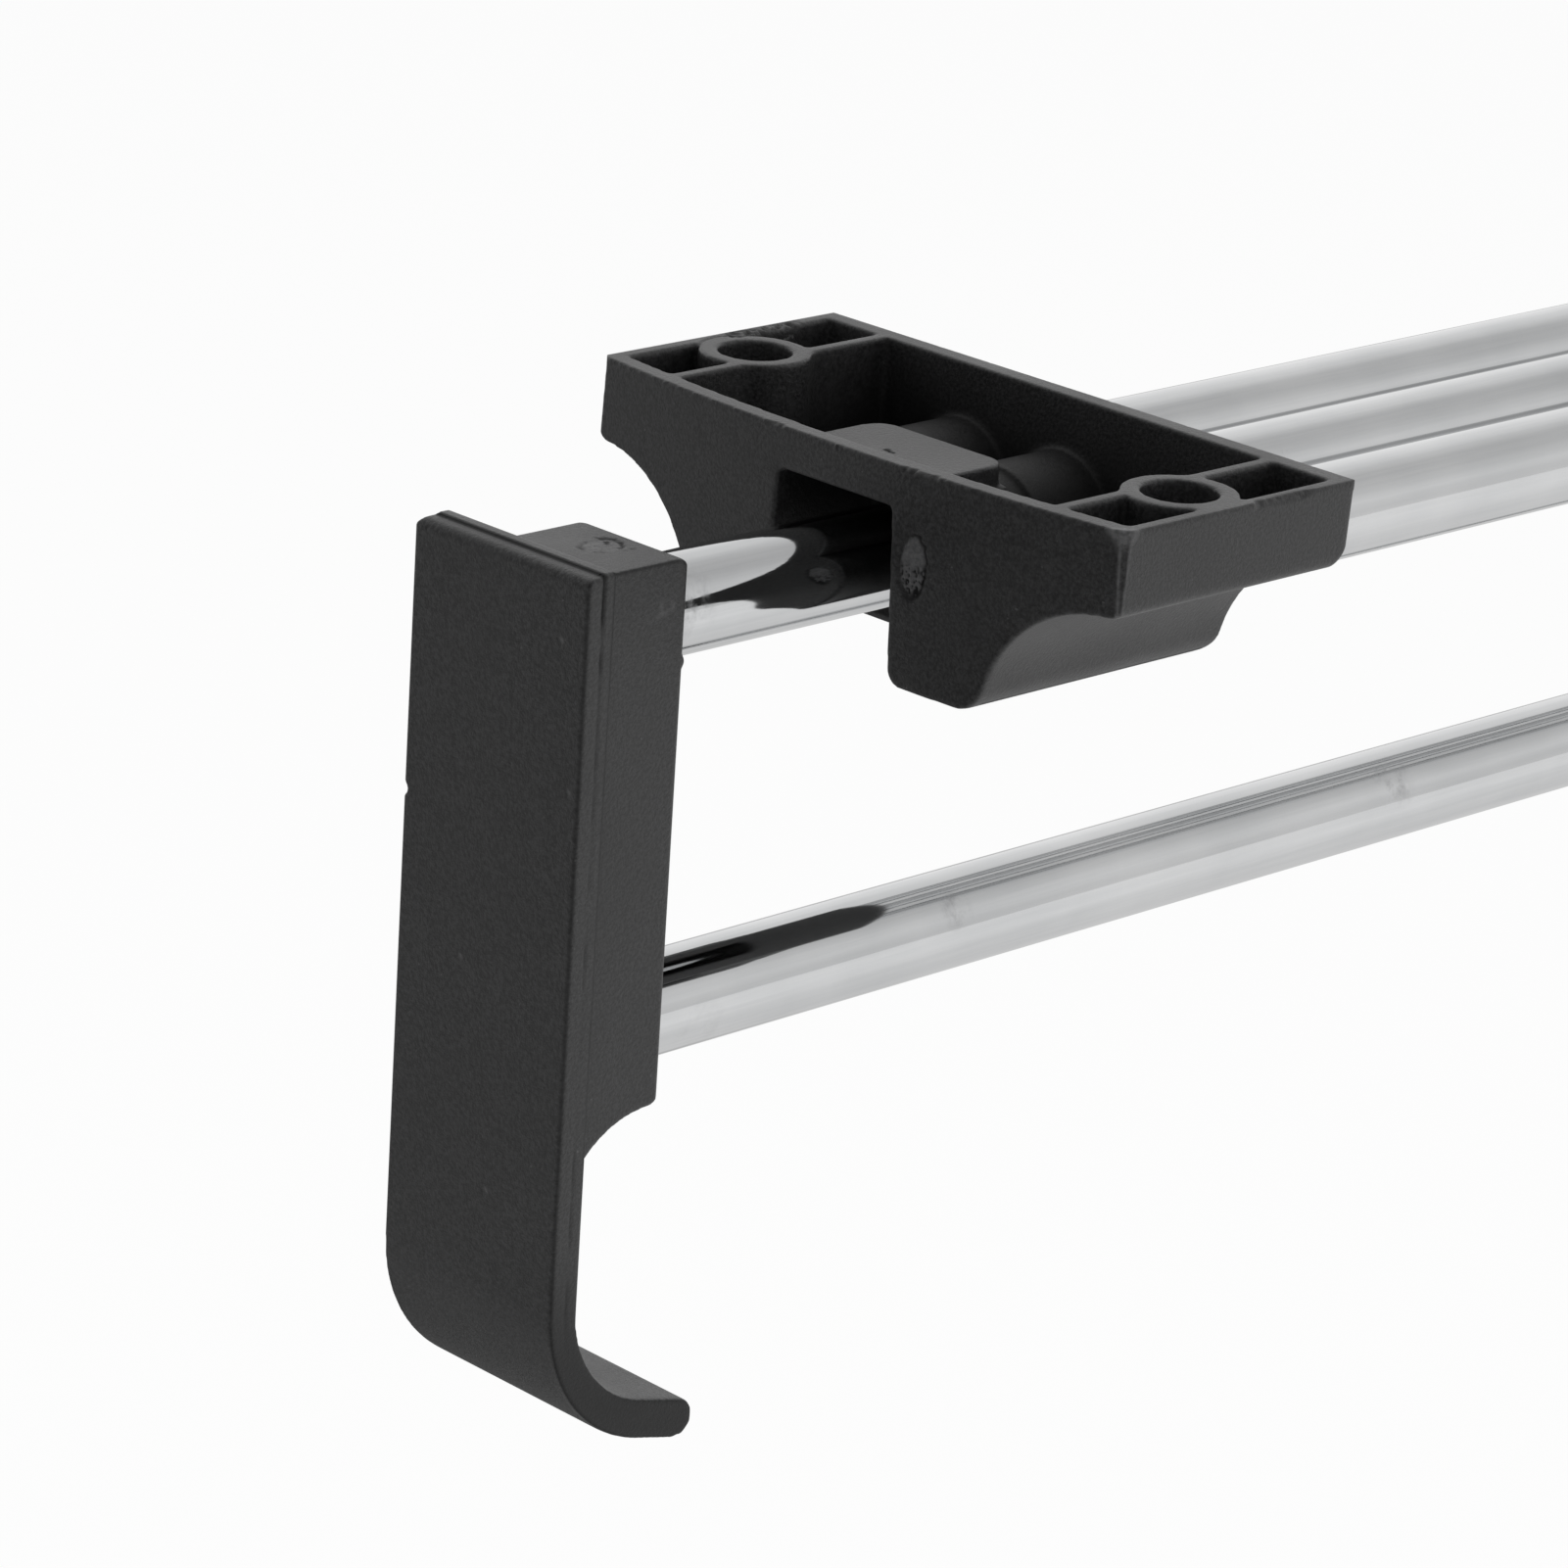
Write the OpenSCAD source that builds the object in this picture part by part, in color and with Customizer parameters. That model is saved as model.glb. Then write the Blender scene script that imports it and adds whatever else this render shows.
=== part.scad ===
// Pull-out clothes rail that hangs under a wardrobe shelf.
// Two moulded brackets carry a pair of guide tubes. A frame of a handle, a slide rod, a hanging rail and
// a rear slider runs along them and pulls out towards the user.
// The origin lies on the shelf plane, midway between the front bracket's two screw holes.
// X runs across the rail, Y runs towards the back of the wardrobe and Z points up.

/* [Length and travel] */
// Length of the closed rail, from the front bracket's bowed face to the rear bracket's back
overall_l = 350; // [280:10:500]
// How far the frame is pulled out as drawn
rest_out = 38.65; // [5:0.05:60]
// Gap left between the handle's plate and the front bracket when the rail is closed
closed_gap = 0.35; // [0.3:0.05:1]
// Gap left between the slider and either bracket at the ends of its travel
stop_gap = 0.5; // [0.3:0.1:2]

/* [Tubes] */
// Diameter of the guide tubes, the slide rod and the hanging rail
rod_d = 10; // [9:0.5:11]
// Wall of every tube
tube_wall = 1.2; // [0.8:0.1:1.6]
// Distance between the axes of the two guide tubes
guide_pitch = 28; // [27:0.5:32]
// Depth of the guide tubes and the slide rod below the shelf
rod_drop = 12.4; // [11.5:0.1:16]
// Height between the axes of the slide rod and the hanging rail
rail_gap = 40.35; // [30:0.05:60]
// Edge break on the ends of the tubes
tube_chamfer = 0.4; // [0.2:0.1:0.6]

/* [Front bracket] */
// Width of each bracket
bracket_w = 71.5; // [68:0.5:90]
// Depth of the front bracket at its ends
bracket_d = 32.25; // [30:0.25:40]
// How far the front face bows out at its middle
bracket_bow = 2.35; // [0.5:0.05:4]
// Distance from the screw holes to the front face at its ends
screw_setback = 14.65; // [13:0.05:17]
// Height of the wings at their outer ends
wing_h = 8.7; // [8:0.1:10]
// Rounding of the wings' lower outer corners
wing_corner_r = 1.25; // [0.5:0.05:2]
// Plastic below the guide tubes
leg_floor = 4.5; // [3.5:0.1:6]
// Plastic outside each guide tube at the narrowest part of the leg
leg_wall = 1.1; // [0.8:0.1:2]
// Rounding of each leg's outer foot
foot_r = 3.5; // [2.5:0.1:4.5]
// Rounding of the legs' rear lower edge
heel_r = 2; // [0.5:0.1:3]

/* [Bracket walls] */
// Floor and flanks of the open pocket
floor_t = 2; // [1.5:0.1:2.4]
// Front wall of the pocket
front_wall = 2.3; // [1.6:0.1:3]
// Back wall of the pocket
back_wall = 2.2; // [1.6:0.1:3]
// End walls of the pocket
end_wall = 1.7; // [1.2:0.1:2.5]
// Thickness of the webs beside the screw bosses
web_t = 1.5; // [1:0.1:2]
// Plastic round each tube socket
socket_wall = 1.7; // [1.2:0.1:2]
// Plastic round the slide rod between the recess and its rear boss
tunnel_wall = 1; // [0.8:0.1:1.2]
// Length of the slide rod's thicker rear boss, inside the pocket
boss_l = 9.6; // [4:0.1:12]
// Distance from the ends of the front face to the bottom of each guide tube's socket
front_seat = 11.25; // [10.5:0.05:14]

/* [Handle recess] */
// Room on each side of the handle's block at the top of the recess
recess_side_gap = 0.7; // [0.4:0.05:1.2]
// Room above the handle's block
recess_top_gap = 0.85; // [0.4:0.05:1.2]
// Room behind the handle's block when closed
recess_back_gap = 0.57; // [0.3:0.01:1]
// How far each side of the recess flares out from its roof to the foot
recess_flare = 0.75; // [0:0.05:1]
// Thickness of the recess roof
roof_t = 2.35; // [1.2:0.05:2.5]
// Thickness of the recess side and back walls
recess_wall = 1.1; // [0.8:0.1:1.5]
// Rounding of the recess mouth at the feet
mouth_r = 2; // [0.5:0.1:3]
// Rounding of the roof slab's rear corners
slab_r = 2.5; // [0.5:0.1:4]

/* [Screw bosses] */
// Distance from the end of the bracket to its screw hole
screw_inset = 6.75; // [6:0.05:8]
// Outside diameter of the screw boss
boss_d = 11.5; // [10.5:0.1:12]
// Wide core of the screw boss
core_d = 7.5; // [6:0.1:8]
// Screw hole in the floor of the boss
screw_hole_d = 4.5; // [3.5:0.1:5]
// Spot face for the screw head
spot_d = 9.5; // [8.5:0.1:10]
// Distance from the screw hole's axis to the middle of the web
web_offset = 2.65; // [2:0.05:4]

/* [Rear bracket] */
// Depth of the rear bracket
rear_d = 30; // [26:1:40]
// Plastic between each guide tube's end and the head of its screw
rear_web_t = 7.8; // [5:0.1:9]

/* [Handle] */
// Width of the handle's plate
plate_w = 24; // [20:0.5:32]
// Thickness of the plate
plate_t = 3.4; // [2.6:0.1:4.5]
// Height of the plate's top above the slide rod's axis
plate_rise = 9.4; // [8:0.1:11]
// Length of the straight plate below the hanging rail's axis
plate_tail = 22.7; // [18:0.1:30]
// Rounding of the plate's front edges
plate_edge_r = 0.9; // [0.3:0.1:1.2]
// Inner radius of the finger hook
hook_r = 12.4; // [9:0.1:16]
// Angle that the hook turns through
hook_turn = 75; // [60:1:90]
// Straight lip beyond the hook's bend
lip_l = 5.5; // [3:0.1:12]
// Thickness of the lip, to which the hook grows from the plate's thickness
lip_t = 4; // [3:0.1:4.5]
// Width of the block behind the plate
block_w = 14; // [13:0.1:15]
// Depth of the block behind the plate
block_d = 13.8; // [12:0.1:15]
// Height of the block's top above the slide rod's axis
block_rise = 7.2; // [6.5:0.1:8]
// Plastic below the hanging rail
block_floor = 2; // [1.5:0.1:4]
// Radius of the scoop under the block
scoop_r = 10.7; // [8:0.1:11]
// Angle that the scoop turns through
scoop_turn = 62; // [50:1:70]
// Rounding of the block's rear corners
block_corner_r = 1.2; // [0.5:0.1:2]
// How deep the tubes sit in the handle's block
handle_socket_l = 11; // [8:0.1:11.5]

/* [Rear slider] */
// Depth of the slider along the guide tubes
slider_d = 22; // [18:0.5:30]
// Plastic round each guide bore
slider_wall = 2.5; // [1.5:0.1:3]
// Plastic between the ends of the slide rod and the hanging rail and the heads of their screws
slider_web_t = 5.8; // [4:0.1:7]

/* [Fixings] */
// Thread diameter of the end screws
bolt_d = 5; // [4:0.5:5]
// Head diameter of the end screws
bolt_head_d = 9; // [8:0.5:9]
// Head height of the end screws
bolt_head_h = 2.8; // [2:0.1:3]
// Length of the end screws under the head
bolt_l = 14; // [12:0.5:15]
// Size of the cross slots in the screw heads
slot_l = 5; // [4:0.1:5.5]
// Width of the cross slots
slot_w = 1.1; // [0.8:0.1:1.4]
// Depth of the cross slots
slot_depth = 1.4; // [1:0.1:1.6]
// Length of the threaded inserts in the tube ends
insert_l = 10; // [8:0.5:12]

/* [Fits] */
// Radial clearance of a sliding piece in its bore
running_gap = 0.06; // [0.03:0.01:0.1]
// Radial clearance of a piece that is pushed home
push_gap = 0.02; // [0.01:0.01:0.03]
// Radial clearance round a screw or its head
loose_gap = 0.4; // [0.2:0.05:0.5]
// Space between a tube's end and the bottom of its socket
end_gap = 0.3; // [0.1:0.1:0.5]

/* [Hidden] */
$fn = 96;
// How far a cut runs past the face that it opens
over = 1;
// Steps along an outline's arcs
arc_steps = 24;
bow_steps = 24;
black = "#2b2b2b";
chrome = "#cfd2d6";
steel = "#9a9ca0";

rod_r = rod_d / 2;
axis_z = -rod_drop;
rail_z = axis_z - rail_gap;
guide_x = guide_pitch / 2;

front_y = -screw_setback;
bow_y = front_y - bracket_bow;
back_y = front_y + bracket_d;
rear_back_y = bow_y + overall_l;
rear_front_y = rear_back_y - rear_d;
rear_screw_y = rear_front_y + rear_d / 2;

half_w = bracket_w / 2;
leg_h = rod_drop + rod_r + leg_floor;
leg_x = guide_x + rod_r + leg_wall;
sweep_x = half_w - wing_corner_r;
sweep_r = sweep_x - leg_x;
// Height of the foot's rounding above the sweep's centre, where the flank doesn't run straight down first
foot_rise = max(0, wing_h + sweep_r - leg_h + foot_r);
foot_angle = 180 - asin(foot_rise / (sweep_r + foot_r));
foot_x = sweep_x + (sweep_r + foot_r) * cos(foot_angle);
screw_x = half_w - screw_inset;
web_x = screw_x - web_offset;
boss_r = rod_r + socket_wall;
bow_r = (half_w * half_w + bracket_bow * bracket_bow) / (2 * bracket_bow);

plate_back_y = bow_y - closed_gap - rest_out;
plate_front_y = plate_back_y - plate_t;
plate_top_z = axis_z + plate_rise;
block_back_y = plate_back_y + block_d;
block_top_z = axis_z + block_rise;
block_bottom_z = rail_z - rod_r - block_floor;
hook_z = rail_z - plate_tail;
hook_last = 180 + hook_turn;
// The hook's outer face is one arc, which touches the plate's front and the lip's underside
hook_out_r = hook_r + (lip_t + plate_t * cos(hook_last)) / (1 + cos(hook_last));
handle_seat_y = block_back_y - handle_socket_l;

recess_x = block_w / 2 + recess_side_gap;
recess_top_z = block_top_z + recess_top_gap;
recess_back_y = bow_y - closed_gap + block_d + recess_back_gap;
roof_z = recess_top_z + roof_t;

slider_back_y = rear_front_y - stop_gap - rest_out;
slider_front_y = slider_back_y - slider_d;
head_r = rod_r + slider_wall;

front_seat_y = front_y + front_seat;
insert_r = rod_r - tube_wall - push_gap;
bolt_r = bolt_d / 2;
bolt_hole_r = bolt_r + loose_gap;
bolt_head_r = bolt_head_d / 2;
sink_r = bolt_head_r + loose_gap;
sink_depth = bolt_head_h + loose_gap;
rear_seat_y = rear_back_y - sink_depth - rear_web_t;
slider_seat_y = slider_back_y - sink_depth - slider_web_t;

function arc(centre, r, from, to, steps = arc_steps) = [
    for (i = [0 : steps])
        let (angle = from + (to - from) * i / steps)
            centre + r * [cos(angle), sin(angle)]
];
function flipped(points) = [for (i = [len(points) - 1 : -1 : 0]) [-points[i][0], points[i][1]]];

// Draws a front view, X across and Z up, and gives it depth along Y
module along_y(y0, y1) {
    translate([0, y1, 0])
        rotate([90, 0, 0])
            linear_extrude(y1 - y0)
                children();
}

// Draws a side view, Y across and Z up, and gives it width along X, centred
module across_x(width) {
    rotate([90, 0, 90])
        translate([0, 0, -width / 2])
            linear_extrude(width)
                children();
}

module rod(x, z, y0, y1, r) {
    translate([x, y0, z])
        rotate([-90, 0, 0])
            cylinder(h = y1 - y0, r = r);
}

// The underside of half a bracket, from the wing's end through the concave sweep to the rounded foot
function underside(inset) = concat(
    arc([sweep_x, -wing_h - sweep_r], sweep_r + inset, 90, foot_angle),
    arc([foot_x, -leg_h + foot_r], foot_r - inset, foot_angle - 180, -90)
);
function half_outline() = concat(
    [[half_w, 0]],
    arc([sweep_x, -wing_h + wing_corner_r], wing_corner_r, 0, -90),
    underside(0)
);
function half_hollow() = concat([[half_w, over], [half_w, -wing_h + floor_t]], underside(floor_t));

// The upper corners are square and the rear lower edge is rounded
module heel_cut(y) {
    across_x(bracket_w + 2 * over)
        difference() {
            translate([y - heel_r, -leg_h - over])
                square([heel_r + over, heel_r + over]);
            translate([y - heel_r, -leg_h + heel_r])
                circle(r = heel_r);
        }
}

module bracket_block(y0, y1) {
    along_y(y0, y1)
        polygon(concat(half_outline(), flipped(half_outline())));
}

module bracket_hollow(y0, y1) {
    along_y(y0, y1)
        polygon(concat(half_hollow(), flipped(half_hollow())));
}

// Plan of the bowed front, from which the outer face and the inner face of the front wall both come
module bow_plan(inset, x, y) {
    sweep = asin(x / (bow_r - inset));
    polygon(concat(
        arc([0, bow_y + bow_r], bow_r - inset, -90 - sweep, -90 + sweep, bow_steps),
        [[x, y], [-x, y]]
    ));
}

module bowed_slab(inset, x, y) {
    translate([0, 0, -leg_h - over])
        linear_extrude(leg_h + 2 * over)
            bow_plan(inset, x, y);
}

// Bosses and webs that stiffen the ends of a bracket whose screws lie at y
module screw_bosses(y, y0, y1) {
    for (side = [-1, 1]) {
        translate([side * screw_x, y, -leg_h])
            cylinder(h = leg_h, r = boss_d / 2);
        translate([side * web_x - web_t / 2, y0, -leg_h])
            cube([web_t, y1 - y0, leg_h]);
    }
}

module screw_holes(y) {
    for (side = [-1, 1])
        translate([side * screw_x, y, 0]) {
            translate([0, 0, -wing_h + floor_t])
                cylinder(h = wing_h, r = core_d / 2);
            translate([0, 0, -wing_h - over])
                cylinder(h = wing_h, r = screw_hole_d / 2);
            translate([0, 0, -leg_h])
                cylinder(h = leg_h - wing_h, r = spot_d / 2);
        }
}

// A half-round boss over a solid foot, along one tube
module socket_boss(x, y0, y1, r) {
    rod(x, axis_z, y0, y1, r);
    translate([x - r, y0, -leg_h])
        cube([2 * r, y1 - y0, leg_h - rod_drop]);
}

module recess_shape(side, top, y0, y1, mouth) {
    foot = side + recess_flare;
    right = concat(
        [[side, top], [foot, -leg_h + mouth]],
        mouth > 0 ? arc([foot + mouth, -leg_h + mouth], mouth, 180, 270) : [],
        [[foot + mouth, -leg_h - over]]
    );
    along_y(y0, y1)
        polygon(concat(right, flipped(right)));
}

module roof_slab() {
    x = block_w / 2 + recess_side_gap + recess_wall;
    y = recess_back_y + recess_wall;
    translate([0, 0, recess_top_z - over])
        linear_extrude(roof_t + over)
            polygon(concat(
                [[-x, front_y], [x, front_y]],
                arc([x - slab_r, y - slab_r], slab_r, 0, 90),
                arc([slab_r - x, y - slab_r], slab_r, 90, 180)
            ));
}

module front_bracket() {
    color(black)
    difference() {
        intersection() {
            union() {
                difference() {
                    bracket_block(bow_y, back_y);
                    intersection() {
                        bracket_hollow(bow_y, back_y - back_wall);
                        bowed_slab(front_wall, half_w - end_wall, back_y - back_wall);
                    }
                }
                intersection() {
                    bracket_block(bow_y, back_y);
                    union() {
                        screw_bosses(0, front_y, back_y - back_wall / 2);
                        for (side = [-1, 1])
                            socket_boss(side * guide_x, front_seat_y - recess_wall, back_y - over, boss_r);
                        socket_boss(0, recess_back_y, back_y - over, rod_r + tunnel_wall);
                        socket_boss(0, back_y - back_wall - boss_l, back_y - over, boss_r);
                        roof_slab();
                        recess_shape(
                            recess_x + recess_wall, recess_top_z, front_y, recess_back_y + recess_wall, 0
                        );
                    }
                }
            }
            bowed_slab(0, half_w, back_y);
        }
        heel_cut(back_y);
        recess_shape(recess_x, recess_top_z, bow_y - over, recess_back_y, mouth_r);
        rod(0, axis_z, recess_back_y - over, back_y + over, rod_r + running_gap);
        for (side = [-1, 1])
            rod(side * guide_x, axis_z, front_seat_y, back_y + over, rod_r + push_gap);
        screw_holes(0);
    }
}

module rear_bracket() {
    color(black)
    difference() {
        union() {
            difference() {
                bracket_block(rear_front_y, rear_back_y);
                intersection() {
                    bracket_hollow(rear_front_y + back_wall, rear_back_y - back_wall);
                    translate([-half_w + end_wall, rear_front_y, -leg_h])
                        cube([bracket_w - 2 * end_wall, rear_d, leg_h + 2 * over]);
                }
            }
            intersection() {
                bracket_block(rear_front_y, rear_back_y);
                union() {
                    screw_bosses(rear_screw_y, rear_front_y + back_wall / 2, rear_back_y - back_wall / 2);
                    for (side = [-1, 1])
                        socket_boss(
                            side * guide_x, rear_front_y + back_wall / 2, rear_back_y - back_wall / 2, boss_r
                        );
                }
            }
        }
        heel_cut(rear_back_y);
        for (side = [-1, 1]) {
            rod(side * guide_x, axis_z, rear_front_y - over, rear_seat_y, rod_r + push_gap);
            rod(side * guide_x, axis_z, rear_seat_y - over, rear_back_y, bolt_hole_r);
            rod(side * guide_x, axis_z, rear_back_y - sink_depth, rear_back_y + over, sink_r);
        }
        screw_holes(rear_screw_y);
    }
}

// A tube with its outer edges broken
module tube(x, z, y0, y1) {
    color(chrome)
    translate([x, y0, z])
        rotate([-90, 0, 0])
            rotate_extrude()
                polygon([
                    [rod_r - tube_wall, 0],
                    [rod_r - tube_chamfer, 0],
                    [rod_r, tube_chamfer],
                    [rod_r, y1 - y0 - tube_chamfer],
                    [rod_r - tube_chamfer, y1 - y0],
                    [rod_r - tube_wall, y1 - y0]
                ]);
}

module guide_tube_left() {
    tube(-guide_x, axis_z, front_seat_y + end_gap, rear_seat_y - end_gap);
}

module guide_tube_right() {
    tube(guide_x, axis_z, front_seat_y + end_gap, rear_seat_y - end_gap);
}

module slide_rod() {
    tube(0, axis_z, handle_seat_y + end_gap, slider_seat_y - end_gap);
}

module hanging_rail() {
    tube(0, rail_z, handle_seat_y + end_gap, slider_seat_y - end_gap);
}

// A threaded insert pressed into a tube's rear end, flush with it
module insert(x, z, y) {
    color(steel)
    difference() {
        rod(x, z, y - insert_l, y, insert_r);
        rod(x, z, y - insert_l - over, y + over, bolt_r + push_gap);
    }
}

// A pan-head screw whose head's underside lies at y, with its shank running forwards
module screw(x, z, y) {
    color(steel)
    difference() {
        union() {
            rod(x, z, y - bolt_l, y, bolt_r);
            rod(x, z, y, y + bolt_head_h, bolt_head_r);
        }
        for (slot = [[slot_l, slot_w], [slot_w, slot_l]])
            translate([x - slot[0] / 2, y + bolt_head_h - slot_depth, z - slot[1] / 2])
                cube([slot[0], slot_depth + over, slot[1]]);
    }
}

module guide_tube_inserts() {
    for (side = [-1, 1])
        insert(side * guide_x, axis_z, rear_seat_y - end_gap);
}

module guide_tube_screws() {
    for (side = [-1, 1])
        screw(side * guide_x, axis_z, rear_back_y - sink_depth);
}

module rail_inserts() {
    for (z = [axis_z, rail_z])
        insert(0, z, slider_seat_y - end_gap);
}

module rail_screws() {
    for (z = [axis_z, rail_z])
        screw(0, z, slider_back_y - sink_depth);
}

// Side view of the plate with the finger hook at its foot
function hook_outline() =
    let (
        centre = [plate_back_y + hook_r, hook_z],
        reach = lip_l * [cos(hook_last + 90), sin(hook_last + 90)],
        mid = centre + (hook_r + lip_t / 2) * [cos(hook_last), sin(hook_last)] + reach
    )
    concat(
        [[plate_back_y, plate_top_z]],
        arc(centre, hook_r, 180, hook_last),
        arc(mid, lip_t / 2, hook_last - 180, hook_last - 360),
        arc([plate_front_y + hook_out_r, hook_z], hook_out_r, hook_last, 180),
        arc([plate_front_y + plate_edge_r, plate_top_z - plate_edge_r], plate_edge_r, 180, 90)
    );

// Side view of the block that holds both tubes, scooped out below for the fingers
function block_outline() =
    let (
        corner_y = block_back_y - block_corner_r,
        centre = [corner_y, block_bottom_z - scoop_r],
        last = 90 + scoop_turn,
        tail = centre + scoop_r * [cos(last), sin(last)],
        run = (tail[0] - plate_back_y) / sin(last)
    )
    concat(
        [[plate_back_y - plate_t / 2, block_top_z]],
        arc([corner_y, block_top_z - block_corner_r], block_corner_r, 90, 0),
        arc([corner_y, block_bottom_z + block_corner_r], block_corner_r, 0, -90),
        arc(centre, scoop_r, 90, last),
        [[plate_back_y, tail[1] + run * cos(last)], [plate_back_y - plate_t / 2, tail[1] + run * cos(last)]]
    );

module handle() {
    color(black)
    difference() {
        union() {
            across_x(plate_w)
                polygon(hook_outline());
            across_x(block_w)
                polygon(block_outline());
        }
        for (z = [axis_z, rail_z])
            rod(0, z, handle_seat_y, block_back_y + over, rod_r + push_gap);
    }
}

module rear_slider() {
    color(black)
    difference() {
        along_y(slider_front_y, slider_back_y)
            union() {
                for (side = [-1, 1])
                    translate([side * guide_x, axis_z])
                        circle(r = head_r);
                translate([-guide_x, axis_z - head_r])
                    square([guide_pitch, 2 * head_r]);
                translate([-head_r, rail_z])
                    square([2 * head_r, rail_gap]);
                translate([0, rail_z])
                    circle(r = head_r);
            }
        for (side = [-1, 1])
            rod(side * guide_x, axis_z, slider_front_y - over, slider_back_y + over, rod_r + running_gap);
        for (z = [axis_z, rail_z]) {
            rod(0, z, slider_front_y - over, slider_seat_y, rod_r + push_gap);
            rod(0, z, slider_seat_y - over, slider_back_y, bolt_hole_r);
            rod(0, z, slider_back_y - sink_depth, slider_back_y + over, sink_r);
        }
    }
}

front_bracket();
rear_bracket();
guide_tube_left();
guide_tube_right();
guide_tube_inserts();
guide_tube_screws();
handle();
slide_rod();
hanging_rail();
rear_slider();
rail_inserts();
rail_screws();
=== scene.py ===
import math

import bmesh
import bpy
import numpy as np
from mathutils import Matrix, Vector, noise


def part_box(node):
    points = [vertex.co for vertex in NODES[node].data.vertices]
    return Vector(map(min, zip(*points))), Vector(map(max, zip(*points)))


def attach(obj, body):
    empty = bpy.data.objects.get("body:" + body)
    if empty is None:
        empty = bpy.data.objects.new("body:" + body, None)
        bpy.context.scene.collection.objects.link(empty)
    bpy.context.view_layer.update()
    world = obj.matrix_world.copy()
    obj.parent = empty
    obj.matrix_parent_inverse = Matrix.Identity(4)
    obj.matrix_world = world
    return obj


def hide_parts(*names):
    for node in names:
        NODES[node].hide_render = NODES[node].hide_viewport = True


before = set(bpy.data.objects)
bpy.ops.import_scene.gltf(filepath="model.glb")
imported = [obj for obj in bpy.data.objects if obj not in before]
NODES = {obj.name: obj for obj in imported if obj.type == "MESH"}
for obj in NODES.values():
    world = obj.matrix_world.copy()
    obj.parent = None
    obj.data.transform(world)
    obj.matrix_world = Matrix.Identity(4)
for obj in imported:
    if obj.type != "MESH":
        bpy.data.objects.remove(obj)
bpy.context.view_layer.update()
MM = 0.001


# ---------------------------------------------------------------- camera

# In the photograph the bracket and the handle are turned against each other round the tubes.
# The camera splits the difference.
# Azimuth, elevation and roll in degrees, place in mm, and focal length in photo pixels
CAMERA_ANGLES = (44.82, 19.14, 3.74)
CAMERA_PLACE = (384.80, -408.25, 155.84)
PHOTO_SIZE, FOCAL_LENGTH = 1601.0, 6094.0
SENSOR = 36.0
CLIP_START, CLIP_END = 0.01, 50.0


def add_camera():
    """The camera stands where the photograph's perspective puts it."""
    az, el, roll = (math.radians(angle) for angle in CAMERA_ANGLES)
    back = Vector((math.sin(az) * math.cos(el), -math.cos(az) * math.cos(el), math.sin(el)))
    side = Vector((math.cos(az), math.sin(az), 0.0))
    up = back.cross(side)
    right = side * math.cos(roll) + up * math.sin(roll)
    top = up * math.cos(roll) - side * math.sin(roll)
    data = bpy.data.cameras.new("camera")
    data.sensor_width = SENSOR
    data.lens = FOCAL_LENGTH / PHOTO_SIZE * SENSOR
    data.clip_start = CLIP_START
    data.clip_end = CLIP_END
    cam = bpy.data.objects.new("camera", data)
    bpy.context.scene.collection.objects.link(cam)
    place = Vector(CAMERA_PLACE) * MM
    cam.matrix_world = Matrix((
        (right.x, top.x, back.x, place.x),
        (right.y, top.y, back.y, place.y),
        (right.z, top.z, back.z, place.z),
        (0.0, 0.0, 0.0, 1.0),
    ))
    bpy.context.scene.camera = cam


add_camera()


# ---------------------------------------------------------------- mesh tools

WELD = 1e-7
TINY = 1e-9
SOFTEN_PASSES, WEAR_PASSES, BEND_PASSES = 3, 8, 14
NORMAL_PASSES, MARK_PASSES = 4, 8
LEAST_EDGE = 0.02
FLAT_TURN, TURN_RANGE = 0.02, 0.04
MARK_SHOWS = 0.004
GROUP_LEVELS = 10
LATHE_STEPS = 160


def new_object(name, mesh):
    obj = bpy.data.objects.new(name, mesh)
    bpy.context.scene.collection.objects.link(obj)
    return obj


def read(items, key, width, kind=float):
    """One property of all the items, as one row each."""
    values = np.empty(len(items) * width, kind)
    items.foreach_get(key, values)
    return values.reshape(-1, width)


def get_points(mesh):
    return read(mesh.vertices, "co", 3)


def set_points(mesh, co):
    mesh.vertices.foreach_set("co", np.asarray(co, float).ravel())
    mesh.update()


def get_normals(mesh):
    return read(mesh.vertices, "normal", 3)


def get_edges(mesh):
    return read(mesh.edges, "vertices", 2, np.int64)


def averaged(values, edges, passes, share=0.5):
    """Values per point, each moved repeatedly towards the mean of its neighbours."""
    n = len(values)
    a, b = edges[:, 0], edges[:, 1]
    count = np.maximum(np.bincount(a, minlength=n) + np.bincount(b, minlength=n), 1)
    out = np.array(values, float)
    columns = out.reshape(n, -1)
    for _ in range(passes):
        for k in range(columns.shape[1]):
            c = columns[:, k]
            total = np.bincount(a, c[b], n) + np.bincount(b, c[a], n)
            columns[:, k] = c + share * (total / count - c)
    return out


def add_attribute(mesh, name, values):
    att = mesh.attributes.get(name) or mesh.attributes.new(name, "FLOAT", "POINT")
    att.data.foreach_set("value", np.asarray(values, np.float32))


def apply_modifiers(obj):
    deps = bpy.context.evaluated_depsgraph_get()
    mesh = bpy.data.meshes.new_from_object(obj.evaluated_get(deps))
    obj.modifiers.clear()
    old = obj.data
    obj.data = mesh
    bpy.data.meshes.remove(old)
    return mesh


def add_prism(bm, outline, low, high):
    """A closed upright prism in mm: an outline seen from above, and its lower and upper height."""
    rings = []
    for z in (low, high):
        rings.append([bm.verts.new(Vector((x, y, z)) * MM) for x, y in outline])
    faces = [bm.faces.new(rings[0]), bm.faces.new(rings[1])]
    for i in range(len(outline)):
        j = (i + 1) % len(outline)
        faces.append(bm.faces.new((rings[0][i], rings[0][j], rings[1][j], rings[1][i])))
    bmesh.ops.recalc_face_normals(bm, faces=faces)


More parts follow.
